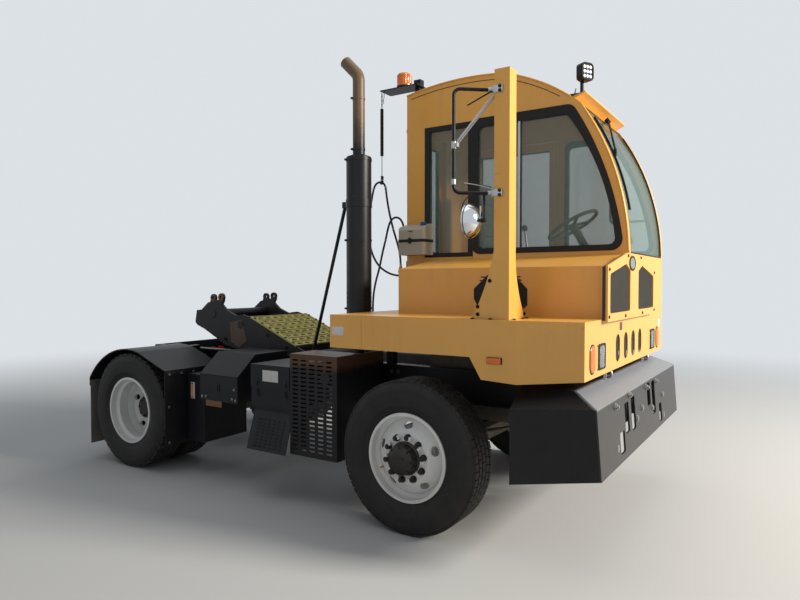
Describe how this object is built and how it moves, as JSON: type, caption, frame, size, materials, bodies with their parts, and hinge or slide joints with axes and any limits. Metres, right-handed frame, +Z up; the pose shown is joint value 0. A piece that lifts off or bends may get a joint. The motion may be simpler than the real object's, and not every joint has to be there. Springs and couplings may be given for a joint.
{
  "type": "terminal tractor",
  "caption": "Two-axle yard tractor with an offset one-person cab, engine hood, upright exhaust, steered front wheels, dual rear wheels and a raised lifting boom.",
  "frame": {"origin": "on the ground, in the middle of the overall length and width", "axes": "+X forward, +Y to the vehicle's left, +Z up"},
  "size_m": [4.825, 2.6596, 3.4879],
  "materials": {
    "yellow_paint": "semi-gloss",
    "black_paint": "satin, dusty",
    "worn_steel": "worn satin",
    "engine_grey": "matte",
    "lamp_white": "clear",
    "lamp_amber": "clear amber",
    "lamp_red": "clear red",
    "glass": "tinted",
    "dark_plastic": "matte",
    "seat_fabric": "woven",
    "exhaust_steel": "heat-stained",
    "white_plastic": "translucent white",
    "mirror": "polished",
    "flap_rubber": "matte",
    "seal_rubber": "matte",
    "hose_rubber": "satin",
    "grating_yellow": "worn matte",
    "chrome": "polished",
    "white_paint": "semi-gloss",
    "tyre": "matte"
  },
  "bodies": {
    "chassis": {"chassis_frame": "black_paint", "front_bumper": "worn_steel", "front_axle": "black_paint", "rear_axle": "black_paint", "engine_block": "engine_grey", "body_deck": "yellow_paint", "headlamps": "lamp_white", "amber_lamps": "lamp_amber", "hood": "yellow_paint", "grille_panel": "yellow_paint", "grille_mesh": "black_paint", "cab_right_wall": "yellow_paint", "cab_left_wall": "yellow_paint", "cab_rear_wall": "yellow_paint", "cab_roof": "yellow_paint", "cab_floor": "yellow_paint", "window_seals": "seal_rubber", "cab_glass": "glass", "wiper": "dark_plastic", "dash": "dark_plastic", "seat_cushions": "seat_fabric", "exhaust_stack": "exhaust_steel", "coolant_tank": "white_plastic", "roof_lamps": "black_paint", "mirror_post": "yellow_paint", "mirror_frames": "black_paint", "mirror_heads": "mirror", "rear_fenders": "black_paint", "mud_flaps": "flap_rubber", "guard_box": "black_paint", "battery_box": "black_paint", "toolbox": "black_paint", "hydraulic_tank": "black_paint", "left_steps": "black_paint", "fuel_tank": "black_paint", "tail_lamps": "lamp_red", "air_fittings": "black_paint", "air_hose_long": "hose_rubber", "air_hose_short": "hose_rubber"},
    "knuckle_left": {"knuckle_left": "black_paint"},
    "knuckle_right": {"knuckle_right": "black_paint"},
    "tie_rod": {"tie_rod": "black_paint"},
    "front_wheel_left": {"front_rim_left": "white_paint", "front_tyre_left": "tyre"},
    "front_wheel_right": {"front_rim_right": "white_paint", "front_tyre_right": "tyre"},
    "rear_wheels_left": {"rear_rims_left": "white_paint", "rear_tyres_left": "tyre"},
    "rear_wheels_right": {"rear_rims_right": "white_paint", "rear_tyres_right": "tyre"},
    "boom": {"boom": "black_paint", "boom_deck": "grating_yellow"},
    "lift_barrels": {"lift_barrels": "black_paint"},
    "lift_rods": {"lift_rods": "chrome"},
    "cab_door": {"cab_door": "yellow_paint", "door_glass": "glass"},
    "rear_door": {"rear_door": "yellow_paint", "rear_door_glass": "glass"},
    "battery_lid": {"battery_lid": "black_paint"},
    "steering_wheel": {"steering_wheel": "dark_plastic"}
  },
  "joints": [
    {"name": "steer_left", "type": "hinge", "parent": "chassis", "child": "knuckle_left", "pos_m": [1.14, 0.88, 0.515], "axis": [0, 0, 1], "range_deg": [-38, 38]},
    {"name": "steer_right", "type": "hinge", "parent": "chassis", "child": "knuckle_right", "pos_m": [1.14, -0.88, 0.515], "axis": [0, 0, 1], "range_deg": [-38, 38]},
    {"name": "tie_rod_pivot", "type": "hinge", "parent": "knuckle_left", "child": "tie_rod", "pos_m": [0.94, 0.88, 0.4007], "axis": [0, 0, 1], "range_deg": [-38, 38]},
    {"name": "steering_wheel_turn", "type": "hinge", "parent": "chassis", "child": "steering_wheel", "pos_m": [1.7, 0.56, 2.15], "axis": [-0.5003, 0, 0.8659], "range_deg": [-700, 700]},
    {"name": "front_wheel_left_spin", "type": "hinge", "parent": "knuckle_left", "child": "front_wheel_left", "pos_m": [1.14, 1.04, 0.515], "axis": [0, 1, 0], "continuous": true},
    {"name": "front_wheel_right_spin", "type": "hinge", "parent": "knuckle_right", "child": "front_wheel_right", "pos_m": [1.14, -1.04, 0.515], "axis": [0, 1, 0], "continuous": true},
    {"name": "rear_wheels_left_spin", "type": "hinge", "parent": "chassis", "child": "rear_wheels_left", "pos_m": [-1.81, 0.9165, 0.515], "axis": [0, 1, 0], "continuous": true},
    {"name": "rear_wheels_right_spin", "type": "hinge", "parent": "chassis", "child": "rear_wheels_right", "pos_m": [-1.81, -0.9165, 0.515], "axis": [0, 1, 0], "continuous": true},
    {"name": "boom_lift", "type": "hinge", "parent": "chassis", "child": "boom", "pos_m": [-0.46, 0, 0.985], "axis": [0, 1, 0], "range_deg": [-16, 6]},
    {"name": "lift_barrel_tilt", "type": "hinge", "parent": "chassis", "child": "lift_barrels", "pos_m": [-0.88, 0, 0.66], "axis": [0, 1, 0], "range_deg": [-19, 7]},
    {"name": "lift_rod_slide", "type": "slide", "parent": "lift_barrels", "child": "lift_rods", "axis": [-0.5921, 0, 0.8059], "range_m": [-0.155, 0.06]},
    {"name": "cab_door_hinge", "type": "hinge", "parent": "chassis", "child": "cab_door", "pos_m": [1.402, 1.15, 2.225], "axis": [0, 0, -1], "range_deg": [0, 80]},
    {"name": "rear_door_slide", "type": "slide", "parent": "chassis", "child": "rear_door", "axis": [0, 1, 0], "range_m": [0, 0.53]},
    {"name": "battery_lid_hinge", "type": "hinge", "parent": "chassis", "child": "battery_lid", "pos_m": [-0.15, -0.62, 1.03], "axis": [-1, 0, 0], "range_deg": [0, 75]}
  ],
  "couplings": [
    {"joint": "steer_right", "follows": "steer_left", "ratio": 1},
    {"joint": "tie_rod_pivot", "follows": "steer_left", "ratio": -1},
    {"joint": "steering_wheel_turn", "follows": "steer_left", "ratio": 18},
    {"joint": "lift_barrel_tilt", "follows": "boom_lift", "ratio": 1.07},
    {"joint": "lift_rod_slide", "follows": "boom_lift", "m_per_rad": 0.53}
  ]
}
